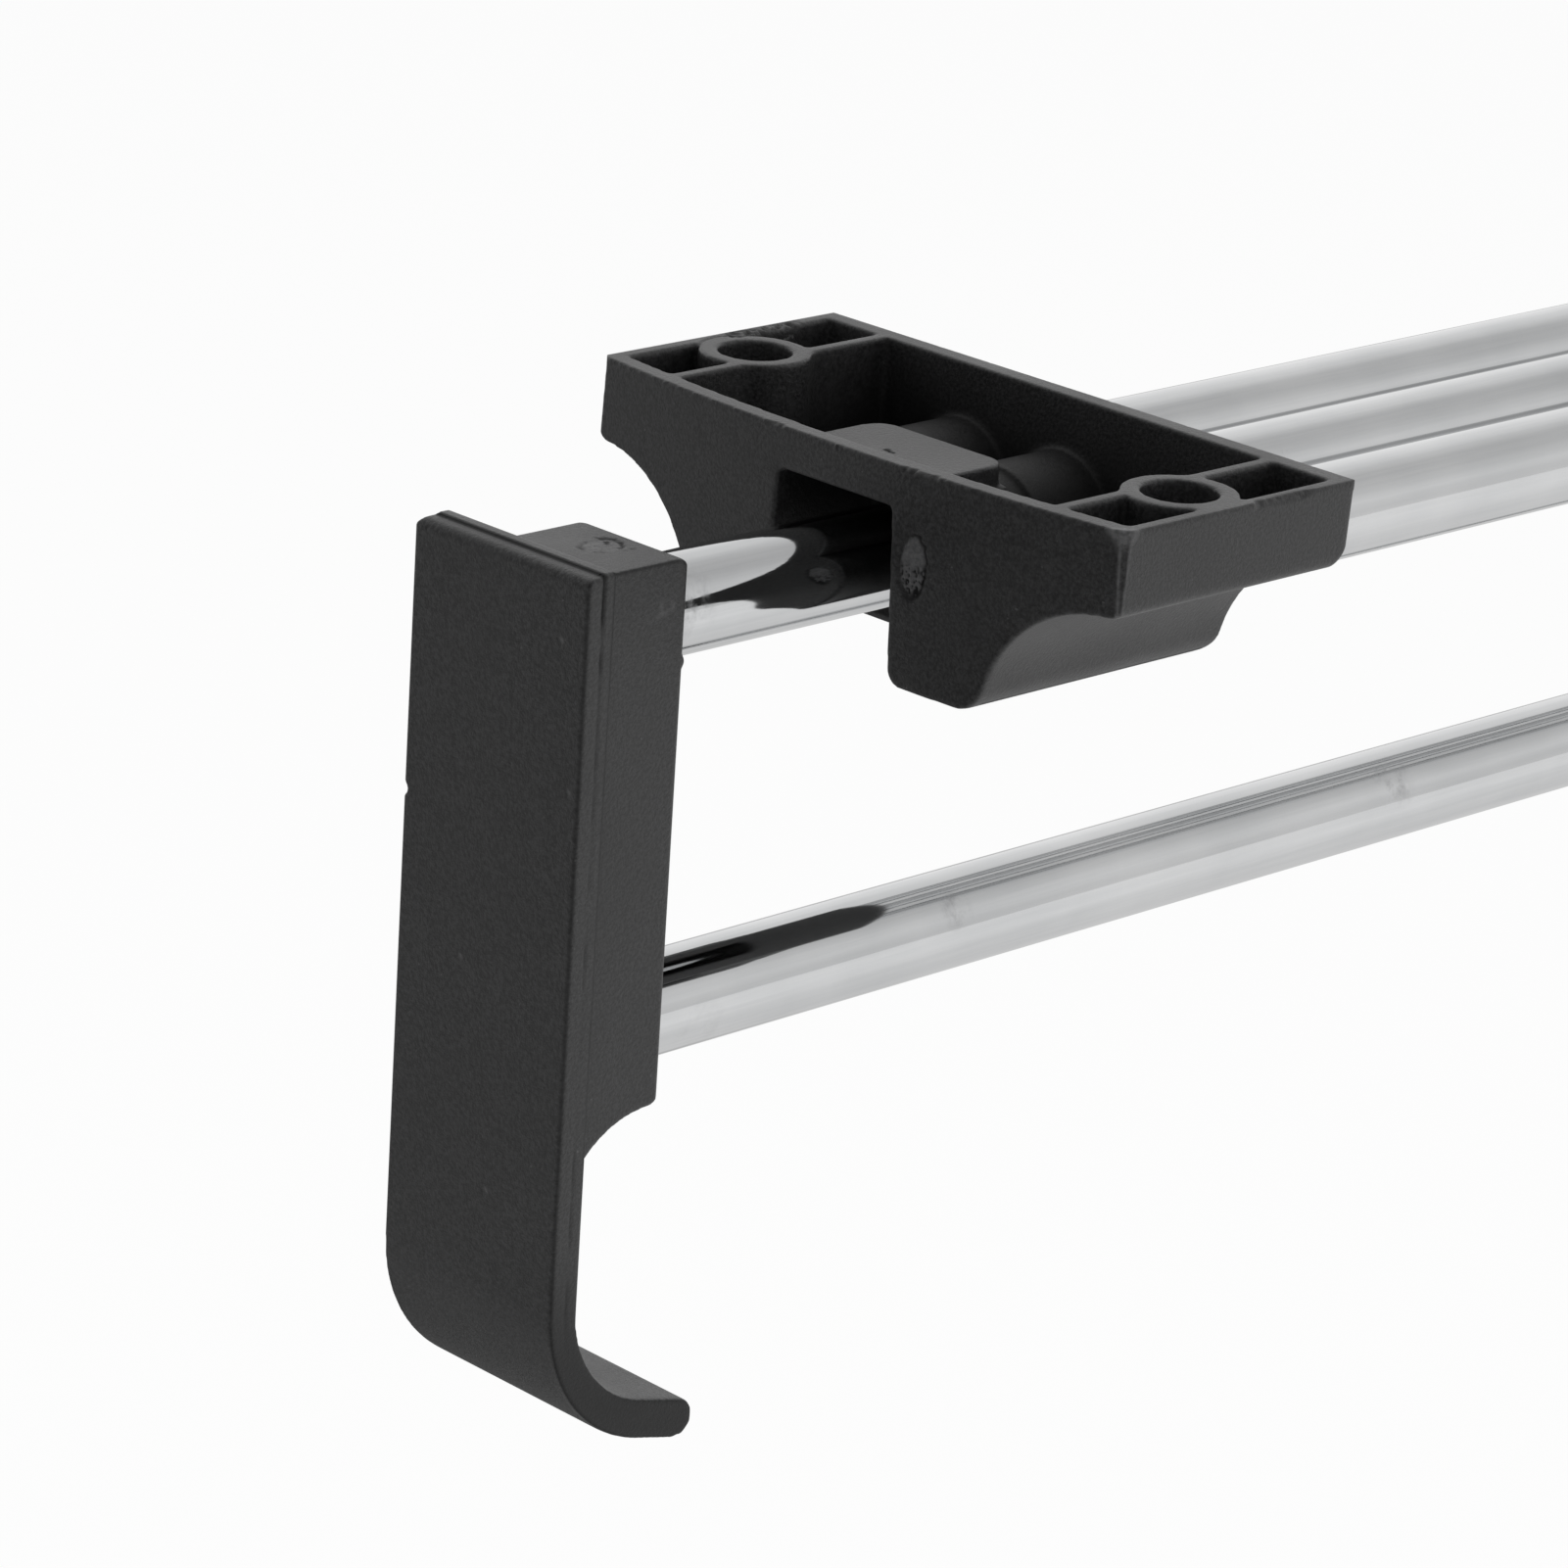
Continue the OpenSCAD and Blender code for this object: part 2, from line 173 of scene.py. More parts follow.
def copy_of(node, name, extras):
    """A new object with a clean copy of a CAD node's mesh, and prisms added to it."""
    bm = bmesh.new()
    bm.from_mesh(NODES[node].data)
    bmesh.ops.remove_doubles(bm, verts=bm.verts, dist=WELD)
    for extra in extras:
        add_prism(bm, *extra)
    mesh = bpy.data.meshes.new(name)
    bm.to_mesh(mesh)
    bm.free()
    return new_object(name, mesh)


def flatness(mesh, edges):
    """1 where the surface is flat and 0 where it bends, for each point."""
    normals = averaged(get_normals(mesh), edges, NORMAL_PASSES)
    co = get_points(mesh) / MM
    a, b = edges[:, 0], edges[:, 1]
    length = np.maximum(np.linalg.norm(co[a] - co[b], axis=1), LEAST_EDGE)
    turn = np.linalg.norm(normals[a] - normals[b], axis=1) / length
    most = np.zeros(len(co))
    np.maximum.at(most, a, turn)
    np.maximum.at(most, b, turn)
    return 1 - np.clip((most - FLAT_TURN) / TURN_RANGE, 0, 1)


def moulded(node, name, voxel, keep, extras, soft, detail):
    """A CAD moulding with every edge softened as a real one is, and its own surface detail.

    soft says how much each point is worn, and detail carves the points and marks them for the
    material: scar is light, line is dark, and deep is painted shade that also dulls.
    """
    obj = copy_of(node, name, extras)
    mod = obj.modifiers.new("remesh", "REMESH")
    mod.mode = "VOXEL"
    mod.voxel_size = voxel * MM
    mod.adaptivity = 0.0
    mesh = apply_modifiers(obj)
    edges = get_edges(mesh)
    co = averaged(get_points(mesh), edges, SOFTEN_PASSES)
    worn = soft(co / MM) if soft else 1.0
    co = averaged(co, edges, WEAR_PASSES, 0.5 * worn)
    set_points(mesh, co)
    marks = {key: np.zeros(len(co)) for key in ("scar", "line", "deep")}
    co = detail(co / MM, marks) * MM
    set_points(mesh, co)
    smooth = averaged(co, edges, BEND_PASSES)
    bend = ((co - smooth) * get_normals(mesh)).sum(1) / (voxel * MM)
    add_attribute(mesh, "bend", averaged(bend, edges, 1))
    for key, values in marks.items():
        add_attribute(mesh, key, values)
    # Flat unmarked places are thinned most
    marked = averaged(np.abs(marks["scar"]) + np.abs(marks["line"]), edges, MARK_PASSES)
    flat = flatness(mesh, edges) * (marked < MARK_SHOWS)
    group = obj.vertex_groups.new(name="flat")
    for level in range(GROUP_LEVELS + 1):
        members = np.flatnonzero(np.round(flat * GROUP_LEVELS) == level)
        group.add(members.tolist(), level / GROUP_LEVELS, "REPLACE")
    mod = obj.modifiers.new("thin", "DECIMATE")
    mod.vertex_group = "flat"
    mod.ratio = keep
    mesh = apply_modifiers(obj)
    obj.vertex_groups.clear()
    mesh.materials.clear()
    mesh.shade_smooth()
    return obj


def lathe(name, profile, x, z):
    """A closed surface turned about a line along Y. The profile is a ring of (radius, y) in mm."""
    bm = bmesh.new()
    rings = []
    for radius, y in profile:
        ring = []
        for i in range(LATHE_STEPS):
            t = 2 * math.pi * i / LATHE_STEPS
            point = Vector((x + radius * math.cos(t), y, z + radius * math.sin(t)))
            ring.append(bm.verts.new(point * MM))
        rings.append(ring)
    for k, a in enumerate(rings):
        b = rings[(k + 1) % len(rings)]
        for i in range(LATHE_STEPS):
            j = (i + 1) % LATHE_STEPS
            bm.faces.new((a[i], a[j], b[j], b[i]))
    bmesh.ops.recalc_face_normals(bm, faces=bm.faces)
    mesh = bpy.data.meshes.new(name)
    bm.to_mesh(mesh)
    bm.free()
    mesh.shade_smooth()
    return new_object(name, mesh)


# ---------------------------------------------------------------- carving, in mm

def ease(value, start, end):
    """0 before start, 1 after end and a smooth run between them."""
    t = np.clip((value - start) / (end - start), 0, 1)
    return t * t * (3 - 2 * t)


def rough(co, where, size, seed=0.0):
    """Noise from about -1 to 1 at the chosen points, and 0 elsewhere."""
    out = np.zeros(len(co))
    shift = Vector((seed, 1.7 * seed, -2.3 * seed))
    for i in np.flatnonzero(where):
        out[i] = noise.noise(Vector(co[i] / size) + shift)
    return out


def dent(co, centre, radius, push):
    """Moves the points near a centre, fading to nothing at the radius."""
    d2 = (((co - np.array(centre)) / radius) ** 2).sum(1)
    return co + (np.clip(1 - d2, 0, 1) ** 2)[:, None] * np.array(push)


def cut(co, normal, level, where):
    """Pushes points that lie beyond a plane back onto it."""
    n = np.array(normal, float)
    n /= np.linalg.norm(n)
    beyond = np.maximum(co @ n - level, 0) * where
    return co - beyond[:, None] * n


def round_between(co, first, second, r, where):
    """Rounds the edge where two surfaces meet.

    Each surface is a depth below it at every point, and the way inwards.
    """
    (depth_a, in_a), (depth_b, in_b) = first, second
    u, v = r - depth_a, r - depth_b
    d = np.hypot(u, v)
    k = ((u > 0) & (v > 0) & (d > r)) * where * (1 - r / np.maximum(d, TINY))
    return co + (u * k)[:, None] * in_a + (v * k)[:, None] * in_b


def side_of(co, axis, sign, place):
    """A flat face across one axis, as round_between takes it."""
    inward = np.zeros(3)
    inward[axis] = -sign
    return sign * (place - co[:, axis]), inward


def add_mark(marks, key, amount):
    """Raises a mark to the amount where that is more."""
    marks[key] = np.maximum(marks[key], amount)


def fade(distance, width):
    """1 on a line and fading on both sides of it."""
    return np.exp(-(distance / width) ** 2)


def break_edges(co, faces, amount, near):
    """Cuts the rim's edges at 45 degrees. A face is its axis, its side and its place."""
    for axis, sign, place in faces:
        normal = np.zeros(3)
        normal[axis], normal[2] = sign, 1
        co = cut(co, normal, (place - amount) / math.sqrt(2), near)
    return co


def gate_mark(co, marks, centre, across, along, inward, ragged=0.0, faint=0.0):
    """An oval scar where the moulding was cut from its runner.

    across and along are divided by the scar's half sizes. ragged is how much of it is torn, and
    faint is how much it has worn away.
    """
    rel = co - np.array(centre)
    inward = np.array(inward)
    a, b = rel @ np.array(across), rel @ np.array(along)
    r = np.hypot(a, b)
    near = (r < 1.4) & (np.abs(rel @ inward) < 0.8)
    wave = rough(co, near, 0.55)
    fine = rough(co, near, 0.3, 4.0)
    ring = near * fade(r - 1 + 0.14 * wave, 0.1)
    ring *= np.clip(1 - faint + 2.2 * faint * rough(co, near, 1.3, 8.0) + 0.3 * faint, 0, 1)
    inside = near * ease(1.02 - r, 0.0, 0.14)
    crack = ragged * inside * ease(-b, -0.2, 0.2) * (np.abs(wave + 0.4 * fine) < 0.12)
    move = 0.14 * ring + inside * (0.03 + 0.06 * fine) + 0.16 * crack
    scar = (1 - 0.65 * faint) * inside * np.clip(0.75 + 0.5 * fine, 0, 1)
    add_mark(marks, "scar", scar)
    ring *= 1 - 0.35 * faint
    add_mark(marks, "line", ring * np.clip(0.75 + 0.6 * a, 0.2, 1) + crack)
    return co + move[:, None] * inward


# ---------------------------------------------------------------- materials

def grey(v):
    """A grey with a trace of blue."""
    return (v, v, v * 1.02, 1)


WHITE = (1, 1, 1, 1)
PLASTIC_LOW, PLASTIC_HIGH = grey(0.0095), grey(0.0125)
GRAIN_COLOUR, SPECK_COLOUR = grey(0.035), grey(0.08)
RUBBED_COLOUR, SCAR_COLOUR = grey(0.062), grey(0.125)
# Near black, for dark lines and for painted shade
LINE_AND_SHADE_COLOUR = grey(0.002)
CHROME_LOW, CHROME_HIGH = (0.575, 0.583, 0.59), (0.66, 0.664, 0.668)
SMUDGE_COLOUR = grey(0.35)
ZINC_LOW, ZINC_HIGH = (0.5, 0.51, 0.52), (0.66, 0.67, 0.68)
# Smudges on the tubes: place and reach in mm, and strength
SMUDGES = (
    ((3.6, 67.5, -49.6), 4.5, 1.0),
    ((4.2, 0.3, -50.0), 3.0, 1.0),
    ((4.1, 44.2, -9.6), 1.2, 1.0),
    ((3.4, -40.0, -11.0), 5.5, 1.0),
    ((4.3, -35.0, -54.5), 7.0, 0.45),
)
# Draw marks are this much longer along the tubes than across them
DRAWN_LENGTH = 50.0


def new_material(name):
    mat = bpy.data.materials.new(name)
    mat.use_nodes = True
    mat.node_tree.nodes.clear()
    return mat, mat.node_tree


def add_node(tree, kind, **values):
    """A node with the given settings. Those that start with in_ are values of its sockets."""
    node = tree.nodes.new(kind)
    for key, value in values.items():
        if key.startswith("in_"):
            node.inputs[key[3:].replace("_", " ")].default_value = value
        else:
            setattr(node, key, value)
    return node


def new_shader(name, **values):
    """A material with one shader, and the object coordinates that it is painted by."""
    mat, tree = new_material(name)
    out = add_node(tree, "ShaderNodeOutputMaterial")
    shader = add_node(tree, "ShaderNodeBsdfPrincipled", **values)
    tree.links.new(shader.outputs["BSDF"], out.inputs["Surface"])
    place = add_node(tree, "ShaderNodeTexCoord").outputs["Object"]
    return mat, tree, shader, place


def add_bump(tree, shader, height, strength, distance):
    bump = add_node(tree, "ShaderNodeBump", in_Strength=strength, in_Distance=distance)
    tree.links.new(height, bump.inputs["Height"])
    tree.links.new(bump.outputs["Normal"], shader.inputs["Normal"])


def remap(tree, value, low, high, start=0.0, end=1.0, kind="LINEAR"):
    """A value that runs from start to end as the input runs from low to high."""
    node = add_node(tree, "ShaderNodeMapRange", clamp=True, interpolation_type=kind)
    for key, level in (("From Min", low), ("From Max", high), ("To Min", start), ("To Max", end)):
        node.inputs[key].default_value = level
    tree.links.new(value, node.inputs["Value"])
    return node.outputs["Result"]


def math_node(tree, operation, a, b, clamp=False):
    node = add_node(tree, "ShaderNodeMath", operation=operation, use_clamp=clamp)
    for socket, value in zip(node.inputs, (a, b)):
        if isinstance(value, (int, float)):
            socket.default_value = value
        else:
            tree.links.new(value, socket)
    return node.outputs[0]


def product(tree, first, *others):
    for other in others:
        first = math_node(tree, "MULTIPLY", first, other)
    return first


def ramp(tree, factor, *stops):
    node = add_node(tree, "ShaderNodeValToRGB")
    elements = node.color_ramp.elements
    while len(elements) < len(stops):
        elements.new(0.5)
    for element, (place, value) in zip(elements, stops):
        element.position = place
        element.color = value if len(value) == 4 else (*value, 1)
    tree.links.new(factor, node.inputs["Fac"])
    return node.outputs["Color"]


def mix_colour(tree, factor, first, second):
    node = add_node(tree, "ShaderNodeMix", data_type="RGBA", in_B=second)
    tree.links.new(factor, node.inputs["Factor"])
    tree.links.new(first, node.inputs["A"])
    return node.outputs["Result"]


def noise_at(tree, place, scale, detail, roughness=0.5):
    node = add_node(
        tree, "ShaderNodeTexNoise", in_Scale=scale, in_Detail=detail, in_Roughness=roughness
    )
    tree.links.new(place, node.inputs["Vector"])
    return node.outputs["Fac"]


def attribute(tree, name):
    return add_node(tree, "ShaderNodeAttribute", attribute_name=name).outputs["Fac"]


def plastic_material():
    """Black moulded plastic: fine matt grain, lighter worn edges and scars, dark parting lines,
    painted shade and highlights.
    """
    mat, tree, shader, place = new_shader("black_moulded_plastic", in_Specular_IOR_Level=0.5)
    cloud = noise_at(tree, place, 90.0, 5.0)
    grain = noise_at(tree, place, 2600.0, 3.0, 0.75)
    speck = noise_at(tree, place, 1900.0, 1.0)
    chip = noise_at(tree, place, 1500.0, 3.0, 0.65)
    line = math_node(tree, "MINIMUM", attribute(tree, "line"), 1.0)
    deep = attribute(tree, "deep")
    # Colour
    chipped = remap(tree, chip, 0.3, 0.7, -0.25, 0.25)
    uneven = math_node(tree, "ADD", attribute(tree, "bend"), chipped)
    scar = product(tree, attribute(tree, "scar"), remap(tree, chip, 0.3, 0.7, 0.5, 1.0))
    base = ramp(tree, cloud, (0.3, PLASTIC_LOW), (0.7, PLASTIC_HIGH))
    for share, colour in (
        (remap(tree, grain, 0.4, 0.64), GRAIN_COLOUR),
        (remap(tree, speck, 0.76, 0.81, 0.0, 0.8), SPECK_COLOUR),
        (remap(tree, uneven, 0.3, 1.1, 0.0, 0.85), RUBBED_COLOUR),
        (scar, SCAR_COLOUR),
        (line, LINE_AND_SHADE_COLOUR),
        # Painted shade in the pockets and on the hook's sides
        (product(tree, deep, 0.9), LINE_AND_SHADE_COLOUR),
    ):
        base = mix_colour(tree, share, base, colour)
    tree.links.new(base, shader.inputs["Base Color"])
    # Roughness, which is most in lines and where the painted shade lies
    matt = remap(tree, cloud, 0.3, 0.7, 0.35, 0.42)
    matt = math_node(tree, "ADD", matt, remap(tree, grain, 0.3, 0.7, -0.05, 0.05))
    matt = math_node(tree, "ADD", matt, product(tree, line, 0.5))
    matt = math_node(tree, "ADD", matt, product(tree, deep, 0.3), clamp=True)
    tree.links.new(matt, shader.inputs["Roughness"])
    add_bump(tree, shader, grain, 0.9, 0.0001)
    return mat


def chrome_material():
    """Chrome plate with faint lengthwise draw marks, cloudy patches and a few finger smudges."""
    mat, tree, shader, place = new_shader("chrome_plate", in_Metallic=1.0)
    drawn = add_node(
        tree, "ShaderNodeMapping", vector_type="POINT", in_Scale=(1.0, 1 / DRAWN_LENGTH, 1.0)
    )
    tree.links.new(place, drawn.inputs["Vector"])
    streak = noise_at(tree, drawn.outputs["Vector"], 1400.0, 4.0, 0.6)
    cloud = noise_at(tree, place, 60.0, 6.0)
    smear = noise_at(tree, place, 500.0, 5.0, 0.7)
    patches = 0.0
    for spot, reach, most in SMUDGES:
        away = add_node(tree, "ShaderNodeVectorMath", operation="DISTANCE")
        tree.links.new(place, away.inputs[0])
        away.inputs[1].default_value = Vector(spot) * MM
        near = remap(tree, away.outputs["Value"], 0.0, reach * MM, most, 0.0)
        patches = math_node(tree, "MAXIMUM", patches, near)
    smudge = product(tree, remap(tree, patches, 0.2, 0.7), remap(tree, smear, 0.45, 0.7))
    shade = math_node(tree, "ADD", product(tree, cloud, 0.6), product(tree, streak, 0.4))
    base = ramp(tree, shade, (0.36, CHROME_LOW), (0.64, CHROME_HIGH))
    base = mix_colour(tree, product(tree, smudge, 0.6), base, SMUDGE_COLOUR)
    tree.links.new(base, shader.inputs["Base Color"])
    blur = math_node(
        tree, "ADD", remap(tree, shade, 0.35, 0.65, 0.05, 0.1), product(tree, smudge, 0.25)
    )
    tree.links.new(blur, shader.inputs["Roughness"])
    add_bump(tree, shader, streak, 0.14, 0.00002)
    return mat


def zinc_material():
    """Bright zinc plate, a little cloudy and finely scratched."""
    mat, tree, shader, place = new_shader("bright_zinc", in_Metallic=1.0)
    cloud = noise_at(tree, place, 400.0, 4.0)
    scratch = noise_at(tree, place, 3000.0, 3.0)
    base = ramp(tree, cloud, (0.3, ZINC_LOW), (0.7, ZINC_HIGH))
    tree.links.new(base, shader.inputs["Base Color"])
    tree.links.new(remap(tree, cloud, 0.3, 0.7, 0.24, 0.4), shader.inputs["Roughness"])
    add_bump(tree, shader, scratch, 0.2, 0.00003)
    return mat


PLASTIC = plastic_material()
CHROME = chrome_material()
ZINC = zinc_material()


# ---------------------------------------------------------------- front bracket, sizes in mm

HALF_W = 35.75
FRONT_Y, BACK_Y, BOW_Y = -14.65, 17.6, -17.0
WING_R = 1.25
BOW_R = 273.1
WING_H, LEG_H = 8.7, 21.9
SCREW_X, BOSS_R = 29.0, 5.75
SWEEP_X, SWEEP_Z, SWEEP_R = 34.5, -23.1, 14.4
WEB_FACE_X = 25.6
FILLET_R, FILLET_STEPS, FILLET_ROOT, FILLET_FOOT = 3.0, 10, 0.5, -11.6
CRISP_RIM, CRISP_SHARE = 0.9, 0.1
RIM, RIM_DEPTH = 1.2, 1.2
LEAN = 0.06
WING_ROUND = 1.9
# Nibbles in the front edge: place along X, half width and depth
NIBBLES = (
    (9.3, 0.5, 0.3), (10.3, 0.35, 0.4), (11.6, 0.8, 0.22), (13.0, 0.5, 0.42), (14.1, 0.3, 0.2),
    (-8.6, 0.9, 0.3), (-7.7, 0.3, 0.3), (-24.6, 0.8, 0.16), (-32.3, 0.5, 0.2), (22.3, 0.5, 0.14),
    (28.6, 0.4, 0.16),
)
# The roof slab's height and the pits in it: places across X and Y, and radius
ROOF_Z = -2.0
PITS = (((-0.77, -9.15), 0.42), ((-0.2, -9.3), 0.3), ((0.3, -9.4), 0.25))


def front_face(x):
    return BOW_Y + BOW_R - np.sqrt(BOW_R ** 2 - np.minimum(np.abs(x), HALF_W) ** 2)


def rim_distance(x, y, front, back):
    """How far a point lies inside a bracket's outline, seen from above."""
    return np.minimum(HALF_W - np.abs(x), np.minimum(back - y, y - front))


def boss_fillets(screw_y):
    """Fillets where a web runs into the ring round a screw hole, on the pocket's side."""
    fillets = []
    r = FILLET_R
    root = WEB_FACE_X + FILLET_ROOT
    gap = SCREW_X - (WEB_FACE_X - r)
    rise = math.sqrt((BOSS_R + r) ** 2 - gap ** 2)
    end = math.atan2(-rise, gap)
    turns = [end * i / FILLET_STEPS for i in range(FILLET_STEPS + 1)]
    arc = [(WEB_FACE_X - r + r * math.cos(t), rise + r * math.sin(t)) for t in turns]
    quarter = [(root, rise)] + arc + [(root, arc[-1][1] - FILLET_ROOT)]
    for side in (-1, 1):
        for way in (-1, 1):
            outline = [(side * x, screw_y + way * y) for x, y in quarter]
            fillets.append((outline, FILLET_FOOT, 0.0))
    return fillets


def bracket_soft(co):
    """The rim's outer edge stays crisp and the rest is worn soft."""
    x, y, z = co.T
    crisp = (rim_distance(x, y, front_face(x), BACK_Y) < CRISP_RIM) & (z > -CRISP_RIM)
    return np.where(crisp, CRISP_SHARE, 1.0)


def painted_shade_inside(co, front, back):
    """How much painted shade a bracket carries inside its pocket, most at the bottom, where it is
    also duller.
    """
    x, y, z = co.T
    above_foot = np.minimum(np.hypot(np.abs(x) - SWEEP_X, z - SWEEP_Z) - SWEEP_R, z + LEG_H)
    inside = (y - front > 1.3) & (back - y > 1.3) & (np.abs(x) < HALF_W - 1.0)
    return (inside & (above_foot > 0.7)) * ease(-z, 1.5, 9.0)


def front_corners(co, marks):
    """The front corners are chamfered, a little unevenly and narrower towards the foot."""
    x, y, z = co.T
    corner = (HALF_W - FRONT_Y) / math.sqrt(2)
    for side in (-1, 1):
        near = (side * x > HALF_W - 2.5) & (y < FRONT_Y + 2.5) & (z > -WING_H - 1)
        leg = 0.36 + 0.34 * ease(z, -WING_H, 0) + 0.06 * rough(co, near, 0.8)
        level = corner - leg / math.sqrt(2)
        co = cut(co, (side, -1, 0), level, near)
        across = (side * co[:, 0] + co[:, 1] - HALF_W - FRONT_Y) / math.sqrt(2)
        outer = (side * co[:, 0] - co[:, 1]) / math.sqrt(2) > level - 0.25
        # The chamfer's two edges are drawn light as painted highlights, and a faint band inside it
        # dark as painted shade
        lines = fade(np.abs(across) - 0.71 * leg, 0.12) * near * (z > -WING_H + 0.1)
        add_mark(marks, "scar", 0.8 * lines * outer)
        add_mark(marks, "line", 0.2 * near * outer * fade(across - 0.35 * leg, 0.1))
    return co


def wing_edges(co):
    """The wings' rear edges lean forward and end in a rounded corner."""
    x, y, z = co.T
    wing = ease(np.abs(x), 24.0, 29.0)
    co[:, 1] -= LEAN * np.clip(-z, 0, 10) * wing * ease(y, 12.0, 17.0)
    out_x = np.clip(np.abs(x) - (HALF_W - WING_R), 0, WING_R)
    foot = -WING_H + WING_R - np.sqrt(np.maximum(WING_R ** 2 - out_x ** 2, 0))
    rear = side_of(co, 1, 1, BACK_Y - LEAN * WING_H)
    under = (z - foot, np.array((0, 0, 1.0)))
    return round_between(co, rear, under, WING_ROUND, np.abs(x) > 31.0)


def scuffed_corner(co, marks):
    """The right corner's top is scuffed."""
    x, y, z = co.T
    near = (x > HALF_W - 2.5) & (y < FRONT_Y + 2.5) & (z > -2)
    worn = 0.55 + 0.25 * rough(co, near, 0.5)
    corner = (HALF_W - 0.4 - FRONT_Y - 0.4) / math.sqrt(3)
    co = cut(co, (1, -1, 1), corner - worn * 0.5, near)
    scar = near * ease(co @ np.array((1, -1, 1)), 47.6, 48.9)
    scar = scar * np.clip(0.85 + 0.9 * rough(co, near, 0.35, 6.0), 0, 1)
    add_mark(marks, "scar", scar)
    return co


def chipped_end(co, marks):
    """The right end's rim is chipped along its outer edge."""
    x, y, z = co.T
    near = (x > HALF_W - 2) & (y > 2.5) & (y < 14) & (z > -2)
    chip = 0.62 * ease(y, 3.0, 3.5) - 0.14 * ease(y, 4.0, 4.6)
    chip = chip + 0.12 * ease(y, 5.0, 9.0) - 0.6 * ease(y, 9.5, 13.5)
    chip = np.maximum(chip + 0.1 * rough(co, near, 0.7), 0)
    add_mark(marks, "scar", 0.5 * near * (z > -0.6) * fade(y - 3.5, 0.5))
    return cut(co, (1, 0, 0.9), (HALF_W - chip) / math.hypot(1, 0.9), near)


def torn_flash(co, marks):
    """Flash is torn beside the left ring, whose own edge is drawn across the rim."""
    x, y, z = co.T
    near = (x < -32.6) & (y > 0) & (y < 12.5) & (z > -1.2)
    torn = near * ease(-x, 33.2, 33.8) * ease(y, 0.6, 2.0)
    torn = torn * ease(-y, -12.0, -10.0) * ease(x, -35.6, -35.0)
    ragged = np.abs(rough(co, near, 1.1)) + 0.4 * np.abs(rough(co, near, 0.45, 3.0))
    co[:, 2] -= torn * (0.04 + 0.6 * ragged)
    add_mark(marks, "line", torn * np.clip(1.5 * ragged - 0.3, 0, 0.6))
    ring = np.hypot(x + SCREW_X, y)
    co[:, 2] -= 0.14 * ((x < -33.0) * (z > -0.8) * fade(ring - BOSS_R, 0.16))


def front_rim(co):
    """The rim's outer edges are a little uneven, with nibbles at a few places."""
    x, y, z = co.T
    near = (z > -RIM_DEPTH) & (rim_distance(x, y, front_face(x), BACK_Y) < RIM)
    uneven = 0.1 + 0.1 * rough(co, near, 1.5, 9.0) + 0.07 * rough(co, near, 0.5, 11.0)
    front = uneven.copy()
    for place, size, depth in NIBBLES:
        front += depth * fade(x - place, size)
    beyond = np.maximum((z - (y - front_face(x)) + front) / 2, 0) * near * (y < 0)
    co[:, 1] += beyond
    co[:, 2] -= beyond
    return break_edges(co, ((0, 1, HALF_W), (0, -1, HALF_W), (1, 1, BACK_Y)), uneven, near)


def roof_pits(co, marks):
    """A pit with a short dark tail on the roof slab."""
    for (x0, y0), size in PITS:
        co = dent(co, (x0, y0, ROOF_Z), size, (0, 0, -0.3))
        x, y, z = co.T
        away = np.hypot(x - x0, y - y0) / size
        slab = (z > ROOF_Z - 0.6) * (z < ROOF_Z + 0.5)
        add_mark(marks, "line", slab * np.clip(1.2 - away, 0, 1))
    return co


def bracket_detail(co, marks):
    """The front bracket's worn edges, knocks and flash, and the runner's scar on its right leg."""
    # The pocket's inside is darkened with painted shade
    marks["deep"] = painted_shade_inside(co, front_face(co[:, 0]), BACK_Y)
    co = front_corners(co, marks)
    co = wing_edges(co)
    co = scuffed_corner(co, marks)
    co = chipped_end(co, marks)
    torn_flash(co, marks)
    co = front_rim(co)
    co = roof_pits(co, marks)
    return gate_mark(
        co, marks, (11.0, front_face(11.0), -9.4),
        across=(1 / 1.65, 0, 0), along=(-0.1 / 3.05, 0, 1 / 3.05), inward=(0, 1, 0), ragged=1.0,
    )


# ---------------------------------------------------------------- handle, sizes in mm

PLATE_X = 12.0
PLATE_FRONT, PLATE_BACK, PLATE_TOP = -59.4, -56.0, -3.0
BLOCK_X, BLOCK_BACK, BLOCK_TOP, BLOCK_FOOT = 7.0, -42.2, -5.2, -59.75
HOOK_Z = -75.45
HOOK_IN, HOOK_OUT = 12.4, 16.609
HOOK_TURN = math.radians(255.0)
LIP_L, LIP_T = 5.5, 4.0
OUTWARD = np.array((0, math.cos(HOOK_TURN), math.sin(HOOK_TURN)))
LIPWARD = np.array((0, -math.sin(HOOK_TURN), math.cos(HOOK_TURN)))
# The mould's parting line lies this deep behind the plate's face
PARTING = 1.9
FRONT_ROUND, REAR_ROUND, BLOCK_ROUND = 0.42, 0.3, 0.6
PARTING_STEP, GROOVE_DEPTH = 0.26, 0.22
# The cuts at the plate's top corners: side and leg
TOP_CORNERS = ((-1, 1.1), (1, 0.3))
TIP_BEYOND = 1.85
TIP_NICKS = (11.6, 9.8)
# Small knocks in the plate's face: places across X and Z, and radius
KNOCKS = (((8.6, -9.8), 0.5), ((10.6, -23.8), 0.4), ((-3.0, -44.0), 0.4), ((2.0, -66.0), 0.45))
# A depth that no rounding reaches
FAR = 9


